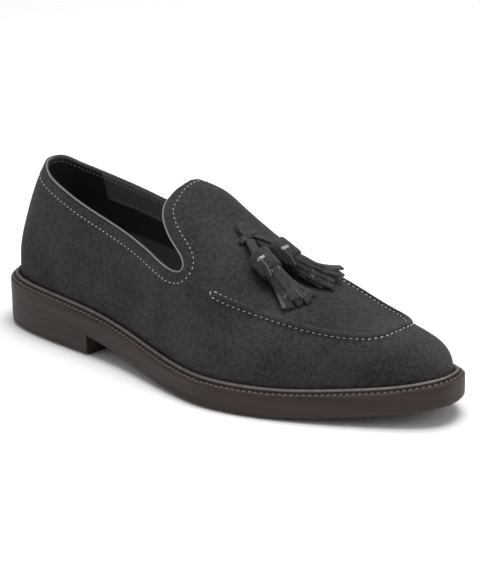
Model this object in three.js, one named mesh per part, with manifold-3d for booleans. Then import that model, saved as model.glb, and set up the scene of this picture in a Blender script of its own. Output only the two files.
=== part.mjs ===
// A man's tassel loafer for the right foot, in suede on a leather-look rubber sole.
// Millimetres, +Z up. In the functions below X runs from the back of the heel (0) to the toe,
// the outer (lateral) side of the foot is at negative Y, and the floor is at Z 0.
import * as THREE from 'three';
import { mergeVertices } from 'three/addons/utils/BufferGeometryUtils.js';
import Module from 'manifold-3d';

const wasm = await Module();
wasm.setup();

// Driving dimensions
const soleLength = 309;
const ballWidth = 109.5;
const collarHeight = 95.5;
const instepHeight = 103.5;
const heelHeight = 16.8;
const soleThickness = 13.5;
const toeSpring = 11.6;
const weltThickness = 3;
const weltLedge = 6;
const beadWidth = 3.4;
const beadHeight = 2.8;
const edgeRounding = 0.8;
const wall = 2.2;
const insoleRise = 2;
const clearance = 0.3;
const heelBulge = 1.3;
const seamWidth = 5;
const seamHeight = 1.7;
const tasselReach = 60;
const tasselSpread = 40;
const headWidth = 12.8;
const headLength = 14.2;
const strapThickness = 1.3;

// Places along the shoe
const breastPlace = 0.267 * soleLength;
const tongueTop = 0.4035 * soleLength;
const throatFront = 0.5016 * soleLength;
const tieStart = 0.5274 * soleLength;

// Steps of the meshes: along half of the sole, along each stretch of the upper, and up its side
const soleSteps = 34;
const heelSteps = 10;
const quarterSteps = 13;
const throatSteps = 12;
const vampSteps = 24;
const sideSteps = 7;
const topSteps = 6;
const edgeSamples = 160;

// Outline of the sole: half widths as shares of ballWidth, along the sole from back to toe
const outlineRows = [
  { at: 0, lateral: 0, medial: 0 },
  { at: 0.01, lateral: 0.123, medial: 0.117 },
  { at: 0.02, lateral: 0.17, medial: 0.161 },
  { at: 0.05, lateral: 0.24, medial: 0.228 },
  { at: 0.085, lateral: 0.277, medial: 0.267 },
  { at: 0.12, lateral: 0.302, medial: 0.292 },
  { at: 0.218, lateral: 0.344, medial: 0.321 },
  { at: 0.345, lateral: 0.391, medial: 0.305 },
  { at: 0.462, lateral: 0.485, medial: 0.314 },
  { at: 0.531, lateral: 0.542, medial: 0.348 },
  { at: 0.609, lateral: 0.576, medial: 0.394 },
  { at: 0.707, lateral: 0.531, medial: 0.421 },
  { at: 0.805, lateral: 0.425, medial: 0.372 },
  { at: 0.902, lateral: 0.285, medial: 0.298 },
  { at: 0.961, lateral: 0.18, medial: 0.215 },
  { at: 0.99, lateral: 0.1, medial: 0.113 },
  { at: 1, lateral: 0.02, medial: -0.02 },
];

// Underside of the sole behind the ball, as shares of heelHeight
const archRows = [
  { at: 0, rise: 1 },
  { at: 0.267, rise: 0.621 },
  { at: 0.365, rise: 0.359 },
  { at: 0.4625, rise: 0.136 },
  { at: 0.56, rise: 0 },
];

// Underside of the sole before the ball, as shares of toeSpring
const springRows = [
  { at: 0.687, rise: 0 },
  { at: 0.756, rise: 0.06 },
  { at: 0.853, rise: 0.32 },
  { at: 0.932, rise: 0.59 },
  { at: 1, rise: 1 },
];

// Thickness of outsole and welt together, as shares of soleThickness
const bodyRows = [
  { at: 0, thick: 0.77 },
  { at: 0.267, thick: 1 },
  { at: 1, thick: 1 },
];

// Crest of the upper: height as shares of instepHeight, and how far it lies to the medial side
// as shares of ballWidth. Behind the tongue it is only a guide for the leaning walls.
const crestRows = [
  { at: 0, height: 1.08, offset: 0 },
  { at: 0.218, height: 1.06, offset: 0 },
  { at: 0.345, height: 0.975, offset: 0.02 },
  { at: 0.404, height: 0.962, offset: 0.03 },
  { at: 0.434, height: 0.951, offset: 0.03 },
  { at: 0.462, height: 0.929, offset: 0.03 },
  { at: 0.511, height: 0.845, offset: 0.01 },
  { at: 0.57, height: 0.738, offset: 0 },
  { at: 0.638, height: 0.622, offset: -0.01 },
  { at: 0.707, height: 0.537, offset: 0 },
  { at: 0.785, height: 0.468, offset: 0.01 },
  { at: 0.863, height: 0.435, offset: 0.01 },
  { at: 0.932, height: 0.42, offset: 0.01 },
  { at: 1, height: 0.4, offset: 0 },
];

// Fullness of the cross-section on either side: 1 is an ellipse, less is squarer. The bulge is
// a share of heelBulge and lies low on the side.
const fullnessRows = [
  { at: 0, lateral: 1.17, medial: 1.17, bulge: 1 },
  { at: 0.121, lateral: 1.08, medial: 1.1, bulge: 0.9 },
  { at: 0.268, lateral: 1, medial: 0.9, bulge: 0.6 },
  { at: 0.404, lateral: 0.88, medial: 0.74, bulge: 0.4 },
  { at: 0.512, lateral: 0.88, medial: 0.72, bulge: 0.3 },
  { at: 0.609, lateral: 0.86, medial: 0.72, bulge: 0.1 },
  { at: 0.805, lateral: 0.72, medial: 0.68, bulge: 0 },
  { at: 1, lateral: 0.66, medial: 0.66, bulge: 0 },
];

// Collar edge behind the tongue, as shares of collarHeight, against the share of the way
// from the back of the heel to the tongue's top
const collarRows = [
  { at: 0, height: 1 },
  { at: 0.06, height: 0.993 },
  { at: 0.173, height: 0.95 },
  { at: 0.314, height: 0.912 },
  { at: 0.483, height: 0.862 },
  { at: 0.718, height: 0.798 },
  { at: 1, height: 0.722 },
];

// Edges of the throat beside the tongue, as shares of collarHeight: the quarter's edge below
// and the tongue's edge above. They start at the tongue's top and meet at the throat's front.
const throatRows = [
  { at: 0, quarter: 0.722, tongue: 0.975 },
  { at: 0.045, quarter: 0.719, tongue: 0.935 },
  { at: 0.124, quarter: 0.712, tongue: 0.905 },
  { at: 0.223, quarter: 0.704, tongue: 0.878 },
  { at: 0.47, quarter: 0.683, tongue: 0.824 },
  { at: 0.751, quarter: 0.666, tongue: 0.772 },
  { at: 0.9, quarter: 0.668, tongue: 0.741 },
  { at: 0.965, quarter: 0.675, tongue: 0.72 },
  { at: 1, quarter: 0.692, tongue: 0.692 },
];

// Raised seam round the vamp, as the climb of each rib, against the share of the way from the
// throat's front to the toe
const seamRows = [
  { at: 0, climb: 0.46, raised: 0 },
  { at: 0.1, climb: 0.46, raised: 0 },
  { at: 0.14, climb: 0.465, raised: 1 },
  { at: 0.36, climb: 0.56, raised: 1 },
  { at: 0.52, climb: 0.605, raised: 1 },
  { at: 0.69, climb: 0.665, raised: 1 },
  { at: 0.77, climb: 0.705, raised: 1 },
  { at: 0.86, climb: 0.78, raised: 1 },
  { at: 0.93, climb: 0.865, raised: 1 },
  { at: 1, climb: 0.935, raised: 1 },
];
const seamStart = 0.14;

// Tie over the instep. Places on the upper: along as a share of tasselReach from tieStart, aside
// as a share of tasselSpread to the medial side; rise, width and thick as shares of headWidth.
const strapRows = [
  { along: 0.02, aside: -0.09, rise: 0.085, width: 0.24, thick: 0.1 },
  { along: 0.06, aside: -0.12, rise: 0.13, width: 0.52, thick: 0.17 },
  { along: 0.13, aside: -0.15, rise: 0.15, width: 0.6, thick: 0.2 },
  { along: 0.2, aside: -0.16, rise: 0.15, width: 0.5, thick: 0.18 },
];
const knotRows = [
  { along: 0.178, aside: -0.33, rise: 0.1, width: 0.2, thick: 0.1 },
  { along: 0.175, aside: -0.28, rise: 0.21, width: 0.25, thick: 0.13 },
  { along: 0.168, aside: -0.18, rise: 0.29, width: 0.27, thick: 0.14 },
  { along: 0.158, aside: -0.07, rise: 0.26, width: 0.26, thick: 0.13 },
  { along: 0.15, aside: 0, rise: 0.12, width: 0.2, thick: 0.1 },
];
const stemRows = [
  { side: 'lateral', along: 0.2, aside: -0.2, rise: 0.17, width: 0.38, thick: 0.12 },
  { side: 'medial', along: 0.195, aside: -0.09, rise: 0.17, width: 0.24, thick: 0.14 },
];

// Tassel heads: where the axis of each starts and ends, over the upper
const headRows = {
  lateral: [{ along: 0.388, aside: -0.41 }, { along: 0.59, aside: -0.445 }],
  medial: [{ along: 0.382, aside: -0.06 }, { along: 0.648, aside: -0.035 }],
};

// Outline of a head and of the bundle below it, as shares of headLength and headWidth
const headProfile = [
  { at: 0, width: 0.82 },
  { at: 0.06, width: 0.97 },
  { at: 0.2, width: 1 },
  { at: 0.8, width: 1 },
  { at: 0.97, width: 0.97 },
  { at: 1, width: 0.9 },
  { at: 1, width: 0.78 },
  { at: 1.25, width: 0.7 },
  { at: 1.5, width: 0.4 },
];

// Strips of the fringes: turn is the place of the root round the head in degrees, 0 on top and
// more to the medial side; along, aside and rise place the tip; width is a share of headWidth
const fringeRows = {
  lateral: [
    { turn: -105, along: 0.9, aside: -0.722, rise: 0.125, width: 0.19 },
    { turn: -70, along: 0.937, aside: -0.645, rise: 0.1, width: 0.33 },
    { turn: -40, along: 0.97, aside: -0.502, rise: 0.1, width: 0.34 },
    { turn: -15, along: 0.925, aside: -0.542, rise: 0.35, width: 0.42 },
    { turn: 12, along: 0.953, aside: -0.415, rise: 0.25, width: 0.3 },
    { turn: 40, along: 0.997, aside: -0.382, rise: 0.11, width: 0.3 },
    { turn: 65, along: 0.977, aside: -0.29, rise: 0.2, width: 0.2 },
    { turn: 95, along: 0.957, aside: -0.16, rise: 0.1, width: 0.22 },
    { turn: 150, along: 0.9, aside: -0.36, rise: 0.1, width: 0.34 },
    { turn: -150, along: 0.88, aside: -0.56, rise: 0.1, width: 0.34 },
  ],
  medial: [
    { turn: -100, along: 0.9, aside: 0.08, rise: 0.1, width: 0.3 },
    { turn: -65, along: 0.955, aside: 0.2, rise: 0.12, width: 0.4 },
    { turn: -35, along: 0.9, aside: 0.27, rise: 0.25, width: 0.4 },
    { turn: -5, along: 0.86, aside: 0.47, rise: 0.42, width: 0.42 },
    { turn: 25, along: 0.835, aside: 0.5, rise: 0.6, width: 0.28 },
    { turn: 60, along: 0.83, aside: 0.56, rise: 0.3, width: 0.34 },
    { turn: 95, along: 0.79, aside: 0.62, rise: 0.14, width: 0.3 },
    { turn: 150, along: 0.83, aside: 0.42, rise: 0.1, width: 0.34 },
    { turn: -150, along: 0.86, aside: 0.26, rise: 0.1, width: 0.34 },
  ],
};
const rootRadius = 0.3;
const rootPlace = 0.9;

// Pointed end of the band that is wrapped round each head: places as shares of headLength, and
// widths and distances from the axis as shares of headWidth
const flapRows = [
  { at: 0.4, width: 0.5, out: 0.5 },
  { at: 0.95, width: 0.42, out: 0.5 },
  { at: 1.3, width: 0.08, out: 0.46 },
];
const flapTurn = -66;
const fringeSteps = 5;

// Ribs that start behind heelReach or before toeReach lean in along the shoe as well
const heelReach = 0.249 * soleLength;
const toeReach = 0.7864 * soleLength;
const toeCentre = 0.838 * soleLength;

const halfTurn = (share) => Math.acos(1 - 2 * THREE.MathUtils.clamp(share, 0, 1)) / Math.PI;
const crowd = (share) => (1 - Math.cos(Math.PI * share)) / 2;
const plain = (share) => share;
const mix = THREE.MathUtils.lerp;

// Reads a table at any share of its length, on a smooth curve through its rows
function through(rows, key, warp = plain) {
  const places = rows.map((row) => warp(row.at));
  const values = rows.map((row) => row[key]);
  const last = rows.length - 1;
  const slope = (i) => {
    const before = Math.max(i - 1, 0);
    const after = Math.min(i + 1, last);
    return (values[after] - values[before]) / (places[after] - places[before]);
  };
  return (share) => {
    const place = THREE.MathUtils.clamp(warp(share), places[0], places[last]);
    let i = 0;
    while (i < last - 1 && place > places[i + 1]) i += 1;
    const step = places[i + 1] - places[i];
    const t = (place - places[i]) / step;
    const start = (1 + 2 * t) * (1 - t) ** 2;
    const rise = t * (1 - t) ** 2 * slope(i) - t * t * (1 - t) * slope(i + 1);
    return values[i] * start + values[i + 1] * (1 - start) + rise * step;
  };
}

// Sole: heights of its underside and of the ledge that the upper stands on
const archRise = through(archRows, 'rise');
const springRise = through(springRows, 'rise');
const bodyShare = through(bodyRows, 'thick');

function underside(x) {
  const share = x / soleLength;
  return heelHeight * archRise(share) + toeSpring * springRise(share);
}

const ledgeTop = (x) => underside(x) + soleThickness * bodyShare(x / soleLength);
const outsoleTop = (x) => ledgeTop(x) - weltThickness;

// Outer edge of the sole seen from above, from the back along the lateral side to the toe and
// home along the medial side
const lateralShare = through(outlineRows, 'lateral', halfTurn);
const medialShare = through(outlineRows, 'medial', halfTurn);

function edgePoint(i) {
  const share = crowd(Math.min(i, 2 * edgeSamples - i) / edgeSamples);
  const across = i <= edgeSamples ? -lateralShare(share) : medialShare(share);
  return new THREE.Vector2(soleLength * share, ballWidth * across);
}

const soleEdge = Array.from({ length: 2 * edgeSamples }, (_, i) => edgePoint(i));

// The same edge moved inwards by a margin, read as two sides at any x
const insets = new Map();

function inset(margin) {
  if (insets.has(margin)) return insets.get(margin);
  const count = soleEdge.length;
  const moved = soleEdge.map((point, i) => {
    const along = soleEdge[(i + 1) % count].clone().sub(soleEdge[(i + count - 1) % count]).normalize();
    return new THREE.Vector2(point.x - along.y * margin, point.y + along.x * margin);
  });
  const lateral = moved.slice(0, edgeSamples + 1);
  const medial = [moved[0], ...moved.slice(edgeSamples).reverse()];
  const sides = { lateral, medial, back: moved[0].x, tip: moved[edgeSamples].x };
  insets.set(margin, sides);
  return sides;
}

function across(margin, side, x) {
  const line = inset(margin)[side];
  let i = 0;
  while (i < line.length - 2 && x > line[i + 1].x) i += 1;
  const t = THREE.MathUtils.clamp((x - line[i].x) / (line[i + 1].x - line[i].x), 0, 1);
  return mix(line[i].y, line[i + 1].y, t);
}

// A ring of points round the sole at one margin, lateral side first, at height(x)
function ring(margin, height, front = Infinity, steps = soleSteps) {
  const { back, tip } = inset(margin);
  const length = Math.min(front, tip) - back;
  const share = (i) => (front < tip ? 1 - Math.cos((Math.PI * i) / steps / 2) : crowd(i / steps));
  const places = Array.from({ length: steps + 1 }, (_, i) => back + length * share(i));
  const point = (side) => (x) => new THREE.Vector3(x, across(margin, side, x), height(x));
  return [...places.map(point('lateral')), ...places.map(point('medial')).reverse()];
}

// Name of a point's place, the same for points that lie within a thousandth of a millimetre
const spot = (p) => [p.x, p.y, p.z].map((value) => Math.round(value * 1000)).join();

// Builds a closed mesh from faces of three or four points, and drops those without area
function closedMesh(name, faces, material) {
  const corners = [];
  for (const face of faces) {
    for (let i = 2; i < face.length; i += 1) {
      const triangle = [face[0], face[i - 1], face[i]];
      if (new Set(triangle.map(spot)).size === 3) corners.push(...triangle);
    }
  }
  const geometry = mergeVertices(new THREE.BufferGeometry().setFromPoints(corners), 1e-4);
  const mesh = new THREE.Mesh(geometry, material);
  mesh.name = name;
  return mesh;
}

// Side faces between two rings, the second one above or inside the first
function band(lower, upper) {
  return lower.map((point, i) => {
    const next = (i + 1) % lower.length;
    return [point, lower[next], upper[next], upper[i]];
  });
}

// A cap across a ring, from its lateral half to its medial half
function cap(points, facesUp) {
  const faces = [];
  for (let i = 0; i < points.length / 2 - 1; i += 1) {
    const j = points.length - 1 - i;
    const face = [points[i], points[i + 1], points[j - 1], points[j]];
    faces.push(facesUp ? face : face.reverse());
  }
  return faces;
}

function stack(rings) {
  const sides = rings.slice(1).flatMap((upper, i) => band(rings[i], upper));
  return [...cap(rings[0], false), ...sides, ...cap(rings.at(-1), true)];
}

function hoop(rings) {
  return rings.flatMap((lower, i) => band(lower, rings[(i + 1) % rings.length]));
}

const rubber = new THREE.MeshStandardMaterial({ color: 0x4a433f, roughness: 0.62, metalness: 0 });
const heelRubber = new THREE.MeshStandardMaterial({ color: 0x453e3b, roughness: 0.65, metalness: 0 });
const weltRubber = new THREE.MeshStandardMaterial({ color: 0x2f2b2c, roughness: 0.6, metalness: 0 });
const suede = new THREE.MeshStandardMaterial({ color: 0x353336, roughness: 0.95, metalness: 0 });
const insoleLeather = new THREE.MeshStandardMaterial({ color: 0x232220, roughness: 0.7, metalness: 0 });

// Heel block: stands flat on the floor and carries the outsole on its sloping top
function heel() {
  const heelTop = (x) => underside(x) - clearance;
  const rings = [
    ring(edgeRounding, () => 0, breastPlace, heelSteps),
    ring(0, () => edgeRounding, breastPlace, heelSteps),
    ring(0, heelTop, breastPlace, heelSteps),
  ];
  return closedMesh('heel', stack(rings), heelRubber);
}

// Outsole: one sheet of even thickness over the heel, through the arch and up to the toe
function outsole() {
  const rings = [
    ring(edgeRounding, underside),
    ring(0, (x) => underside(x) + edgeRounding),
    ring(0, (x) => outsoleTop(x) - clearance),
  ];
  return closedMesh('outsole', stack(rings), rubber);
}

// Welt: a flat strip all round, with a rounded bead that stands up against the upper
function welt() {
  const beadOuter = weltLedge - clearance - beadWidth;
  const innerEdge = weltLedge + wall + clearance;
  const above = (rise) => (x) => ledgeTop(x) + rise;
  const beadRings = [];
  const beadTurns = 4;
  for (let i = 0; i <= beadTurns; i += 1) {
    const angle = (Math.PI * i) / beadTurns;
    const margin = beadOuter + (beadWidth * (1 - Math.cos(angle))) / 2;
    beadRings.push(ring(margin, above(beadHeight * Math.sin(angle))));
  }
  const rings = [
    ring(0, outsoleTop),
    ring(0, above(-edgeRounding)),
    ring(edgeRounding, above(0)),
    ...beadRings,
    ring(innerEdge, above(0)),
    ring(innerEdge, outsoleTop),
  ];
  return closedMesh('welt', hoop(rings), weltRubber);
}

// Insole: fills the welt's opening and lies a little above it, inside the upper
function insole() {
  const edge = weltLedge + wall + 2 * clearance;
  const top = (x) => ledgeTop(x) + insoleRise;
  const rings = [
    ring(edge, outsoleTop),
    ring(edge, (x) => top(x) - edgeRounding),
    ring(edge + edgeRounding, top),
  ];
  return closedMesh('insole', stack(rings), insoleLeather);
}

// Upper: every point lies on a rib that climbs from the foot of the wall to the crest
const crestShare = through(crestRows, 'height');
const crestOffset = through(crestRows, 'offset');
const squareness = { lateral: through(fullnessRows, 'lateral'), medial: through(fullnessRows, 'medial') };
const bulgeShare = through(fullnessRows, 'bulge');
const footBack = inset(weltLedge).back;
const footTip = inset(weltLedge).tip;
const footShare = (x) => (x - footBack) / (footTip - footBack);
const bulgeTop = 0.45;

const crestHeight = (x) => instepHeight * crestShare(x / soleLength);

// Place along the crest where the rib that starts at x on the foot line ends
function crestPlace(x) {
  if (x < heelReach) {
    const t = (x - footBack) / (heelReach - footBack);
    return mix((footBack + heelReach) / 2, heelReach, t * t);
  }
  if (x > toeReach) {
    const t = (x - toeReach) / (footTip - toeReach);
    return mix(toeReach, toeCentre, 1 - (1 - t) ** ((footTip - toeReach) / (toeCentre - toeReach)));
  }
  return x;
}

// Point of the outer surface: climb is 0 at the foot of the wall and 1 on the crest
function skin(x, side, climb) {
  const foot = new THREE.Vector3(x, across(weltLedge, side, x), ledgeTop(x) + clearance);
  const crestX = crestPlace(x);
  const crestY = ballWidth * crestOffset(crestX / soleLength);
  const square = squareness[side](footShare(x));
  const angle = (climb * Math.PI) / 2;
  const lean = 1 - Math.cos(angle) ** square;
  const lift = Math.sin(angle) ** square;
  const inwards = new THREE.Vector2(crestX - foot.x, crestY - foot.y);
  const swell = Math.sin(Math.PI * Math.min(1, lift / bulgeTop)) ** 2;
  const bulge = (heelBulge * bulgeShare(footShare(x)) * swell) / Math.max(inwards.length(), 1);
  const point = new THREE.Vector3(foot.x + inwards.x * (lean - bulge), foot.y + inwards.y * (lean - bulge), 0);
  point.z = mix(foot.z, crestHeight(point.x), lift);
  return point;
}

// Climb at which the rib reaches a height
function climbTo(x, side, height) {
  let low = 0;
  let high = 1;
  for (let i = 0; i < 30; i += 1) {
    const middle = (low + high) / 2;
    if (skin(x, side, middle).z < height) low = middle;
    else high = middle;
  }
  return high > 1 - 1e-6 ? 1 : high;
}

// Climb that covers a length of the rib near a given climb
function climbOf(x, side, climb, length) {
  const probe = 0.01;
  return (length * 2 * probe) / skin(x, side, climb + probe).distanceTo(skin(x, side, climb - probe));
}

const collarShare = through(collarRows, 'height');
const quarterShare = through(throatRows, 'quarter', halfTurn);
const tongueShare = through(throatRows, 'tongue', halfTurn);
const seamClimb = through(seamRows, 'climb');
const seamRaised = through(seamRows, 'raised');

const spread = (from, to, steps) => Array.from({ length: steps + 1 }, (_, i) => mix(from, to, i / steps));

// Columns of the upper from the heel to the toe: each lists the climbs of its points, and how
// far they stand out, below the mouth or the seam (side) and above it (top)
function columnsOf(side) {
  const columns = [];
  for (let i = 0; i < quarterSteps; i += 1) {
    const share = 1 - Math.cos((Math.PI * i) / quarterSteps / 2);
    const x = mix(footBack, tongueTop, share);
    columns.push({ x, edge: climbTo(x, side, collarHeight * collarShare(share)) });
  }
  for (let i = 0; i < throatSteps; i += 1) {
    const share = crowd(i / throatSteps);
    const x = mix(tongueTop, throatFront, share);
    const edge = climbTo(x, side, collarHeight * quarterShare(share));
    const tongue = i === 0 ? 1 : climbTo(x, side, collarHeight * tongueShare(share));
    columns.push({ x, edge, tongue });
  }
  for (let i = 0; i <= vampSteps; i += 1) {
    const share = Math.sin((Math.PI * i) / vampSteps / 2);
    const x = mix(throatFront, footTip, share);
    const front = climbTo(throatFront, side, collarHeight * quarterShare(1));
    const grown = THREE.MathUtils.smoothstep(share, 0, seamStart);
    const seam = mix(front, seamClimb(share), grown);
    const half = climbOf(x, side, seam, seamWidth / 2) * grown;
    const raised = THREE.MathUtils.clamp(seamRaised(share), 0, 1);
    columns.push({ x, edge: seam - half, seam, tongue: seam + half, raised });
  }
  return columns.map((column) => ({ ...column, side }));
}

// Two skins of points for one side, the outer one and the plain one that the lining follows
function sheetOf(side) {
  return columnsOf(side).map((column) => {
    const point = (climb) => skin(column.x, side, climb);
    const lower = spread(0, column.edge, sideSteps).map(point);
    const upper = column.tongue === undefined ? [] : spread(column.tongue, 1, topSteps).map(point);
    const ridge = column.seam === undefined ? [] : [point(column.seam)];
    return { lower, ridge, upper, raised: column.raised ?? 0 };
  });
}

// Faces between two neighbouring columns, turned outwards on either side
function facesBetween(one, two, side) {
  const faces = [];
  const strip = (a, b) => {
    for (let i = 1; i < a.length; i += 1) faces.push([a[i - 1], b[i - 1], b[i], a[i]]);
  };
  if (one.ridge.length && two.ridge.length) {
    strip([...one.lower, ...one.ridge, ...one.upper], [...two.lower, ...two.ridge, ...two.upper]);
  } else {
    strip(one.lower, two.lower);
    if (one.upper.length && two.upper.length) strip(one.upper, two.upper);
  }
  return side === 'lateral' ? faces : faces.map((face) => face.reverse());
}

// Gives a sheet of faces its wall: the same faces again further in, and a rim round each edge
function thickened(faces, raisedBy) {
  const normals = new Map();
  const edges = new Map();
  const triangle = new THREE.Triangle();
  const clean = faces
    .map((face) => face.filter((p, i) => spot(p) !== spot(face[(i + 1) % face.length])))
    .filter((face) => face.length > 2);
  for (const face of clean) {
    const normal = new THREE.Vector3();
    for (let i = 2; i < face.length; i += 1) {
      triangle.set(face[0], face[i - 1], face[i]);
      normal.addScaledVector(triangle.getNormal(new THREE.Vector3()), triangle.getArea());
    }
    face.forEach((p, i) => {
      const next = face[(i + 1) % face.length];
      normals.set(spot(p), (normals.get(spot(p)) ?? new THREE.Vector3()).add(normal));
      if (!edges.delete(`${spot(next)};${spot(p)}`)) edges.set(`${spot(p)};${spot(next)}`, [p, next]);
    });
  }
  const moved = (p, distance) => p.clone().addScaledVector(normals.get(spot(p)).clone().normalize(), distance);
  const outer = (p) => moved(p, raisedBy.get(spot(p)) ?? 0);
  const inner = (p) => moved(p, -wall);
  return [
    ...clean.map((face) => face.map(outer)),
    ...clean.map((face) => face.map(inner).reverse()),
    ...[...edges.values()].map(([p, next]) => [outer(next), outer(p), inner(p), inner(next)]),
  ];
}

function upper() {
  const faces = [];
  const raisedBy = new Map();
  for (const side of ['lateral', 'medial']) {
    const sheet = sheetOf(side);
    sheet.slice(1).forEach((column, i) => faces.push(...facesBetween(sheet[i], column, side)));
    for (const column of sheet) {
      for (const p of column.ridge) {
        raisedBy.set(spot(p), seamHeight * column.raised);
      }
    }
  }
  return closedMesh('upper', thickened(faces, raisedBy), suede);
}

// Place over the outer surface of the upper, and the direction that faces away from it there
const upperMesh = upper();

function over({ along, aside, rise }) {
  const x = tieStart + tasselReach * along;
  const start = new THREE.Vector3(x, tasselSpread * aside, 2 * collarHeight);
  const ray = new THREE.Raycaster(start, new THREE.Vector3(0, 0, -1));
  const [{ point, face }] = ray.intersectObject(upperMesh);
  return { place: point.addScaledVector(face.normal, headWidth * rise), up: face.normal };
}

// A body swept through stations, each with its place, direction outwards, width and thickness.
// corners are the points of its section, as shares of half the width and half the thickness.
function swept(stations, corners) {
  const rings = stations.map((station, i) => {
    const ahead = stations[Math.min(i + 1, stations.length - 1)].place;
    const behind = stations[Math.max(i - 1, 0)].place;
    const onwards = station.onwards ?? ahead.clone().sub(behind);
    const sideways = station.up.clone().cross(onwards).normalize();
    const outwards = onwards.clone().cross(sideways).normalize();
    return corners.map(([wide, high]) => station.place.clone()
      .addScaledVector(sideways, (wide * station.width * headWidth) / 2)
      .addScaledVector(outwards, (high * station.thick * headWidth) / 2));
  });
  const sides = rings.slice(1).flatMap((next, i) => band(rings[i], next));
  const { geometry } = closedMesh('swept', [[...rings[0]].reverse(), ...sides, rings.at(-1)], suede);
  const vertProperties = new Float32Array(geometry.attributes.position.array);
  const triVerts = new Uint32Array(geometry.index.array);
  return new wasm.Manifold(new wasm.Mesh({ numProp: 3, vertProperties, triVerts }));
}

const flatSection = [[-1, -1], [1, -1], [1, 1], [-1, 1]];
const roundSection = Array.from({ length: 16 }, (_, i) => {
  const angle = (Math.PI * i) / 8;
  return [Math.cos(angle), Math.sin(angle)];
});

function fused(name, bodies) {
  const { vertProperties, triVerts } = bodies.reduce((whole, body) => whole.add(body)).getMesh();
  const geometry = new THREE.BufferGeometry();
  geometry.setAttribute('position', new THREE.BufferAttribute(vertProperties, 3));
  geometry.setIndex(new THREE.BufferAttribute(triVerts, 1));
  const mesh = new THREE.Mesh(mergeVertices(geometry, 1e-4), suede);
  mesh.name = name;
  return mesh;
}

// Axis of a head: its two ends, its direction and the direction away from the upper
function axisOf(side) {
  const rise = 0.5 + (2 * clearance) / headWidth;
  const [start, end] = headRows[side].map((row) => over({ ...row, rise }));
  const onwards = end.place.clone().sub(start.place).normalize();
  const sideways = start.up.clone().add(end.up).cross(onwards).normalize();
  return { start: start.place, onwards, sideways, up: onwards.clone().cross(sideways) };
}

// Tassel: a wrapped head with a bundle of cut strips that spread over the vamp
function tassel(side) {
  const { start, onwards, sideways, up } = axisOf(side);
  const along = (share) => start.clone().addScaledVector(onwards, headLength * share);
  const around = (turn) => {
    const angle = THREE.MathUtils.degToRad(turn);
    return up.clone().multiplyScalar(Math.cos(angle)).addScaledVector(sideways, Math.sin(angle));
  };
  const rings = headProfile.map(({ at, width }) => ({ place: along(at), onwards, up, width, thick: width }));
  const flap = swept(flapRows.map(({ at, width, out }) => ({
    place: along(at).addScaledVector(around(flapTurn), headWidth * out),
    up: around(flapTurn),
    width,
    thick: strapThickness / headWidth,
  })), flatSection);
  const strips = fringeRows[side].map((row) => {
    const radial = around(row.turn);
    const root = along(rootPlace).addScaledVector(radial, headWidth * rootRadius);
    const tip = over(row);
    const bend = root.clone().addScaledVector(onwards, root.distanceTo(tip.place) * 0.5);
    const curve = new THREE.QuadraticBezierCurve3(root, bend, tip.place);
    return swept(spread(0, 1, fringeSteps).map((share) => ({
      place: curve.getPoint(share),
      onwards: curve.getTangent(share),
      up: radial.clone().lerp(tip.up, share),
      width: row.width,
      thick: strapThickness / headWidth,
    })), flatSection);
  });
  return fused(`tassel_${side}`, [swept(rings, roundSection), flap, ...strips]);
}

// Tie: a strap out of a slit, a knot band round it, and a stem to each tassel
function tie() {
  const stations = (rows) => rows.map((row) => ({ ...row, ...over(row) }));
  const stems = stemRows.map((row) => {
    const from = over(row);
    const { start, onwards, up } = axisOf(row.side);
    const end = start.clone().addScaledVector(onwards, -clearance);
    const bend = end.clone().addScaledVector(onwards, -headLength / 4);
    const curve = new THREE.QuadraticBezierCurve3(from.place, bend, end);
    return swept(spread(0, 1, fringeSteps).map((share) => ({
      place: curve.getPoint(share),
      onwards: curve.getTangent(share),
      up: from.up.clone().lerp(up, share),
      width: row.width,
      thick: row.thick,
    })), flatSection);
  });
  const knot = swept(stations(knotRows), flatSection);
  return fused('tassel_tie', [swept(stations(strapRows), flatSection), knot, ...stems]);
}

// The shoe, with its origin on the floor under the middle of its length and width
const shoe = new THREE.Group();
shoe.add(heel(), outsole(), welt(), insole(), upperMesh, tie(), tassel('lateral'), tassel('medial'));
const middle = (Math.max(...soleEdge.map((p) => p.y)) + Math.min(...soleEdge.map((p) => p.y))) / 2;
shoe.position.set(-soleLength / 2, -middle, 0);

const part = new THREE.Group();
part.add(shoe);

export default part;
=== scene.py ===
import math
from collections import Counter

import bmesh
import bpy
from mathutils import Matrix, Vector
from mathutils.bvhtree import BVHTree


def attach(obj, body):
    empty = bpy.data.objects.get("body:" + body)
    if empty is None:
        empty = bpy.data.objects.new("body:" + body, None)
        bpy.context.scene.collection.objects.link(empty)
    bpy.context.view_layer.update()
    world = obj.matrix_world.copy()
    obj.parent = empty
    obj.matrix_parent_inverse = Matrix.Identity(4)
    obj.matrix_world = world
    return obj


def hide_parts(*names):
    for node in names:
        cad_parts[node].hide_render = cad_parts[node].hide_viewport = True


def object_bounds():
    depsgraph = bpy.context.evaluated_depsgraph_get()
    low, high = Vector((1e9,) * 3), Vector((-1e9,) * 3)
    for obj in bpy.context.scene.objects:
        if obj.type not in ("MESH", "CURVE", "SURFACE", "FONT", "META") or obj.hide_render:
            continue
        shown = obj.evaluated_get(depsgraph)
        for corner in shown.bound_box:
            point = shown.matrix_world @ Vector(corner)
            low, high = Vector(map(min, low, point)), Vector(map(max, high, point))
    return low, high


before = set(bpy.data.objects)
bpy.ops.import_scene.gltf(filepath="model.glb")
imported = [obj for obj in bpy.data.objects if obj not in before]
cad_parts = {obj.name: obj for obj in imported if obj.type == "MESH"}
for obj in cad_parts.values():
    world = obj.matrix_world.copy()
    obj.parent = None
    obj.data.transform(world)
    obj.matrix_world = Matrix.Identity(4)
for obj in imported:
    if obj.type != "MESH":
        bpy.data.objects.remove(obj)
cad_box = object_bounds()

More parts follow.
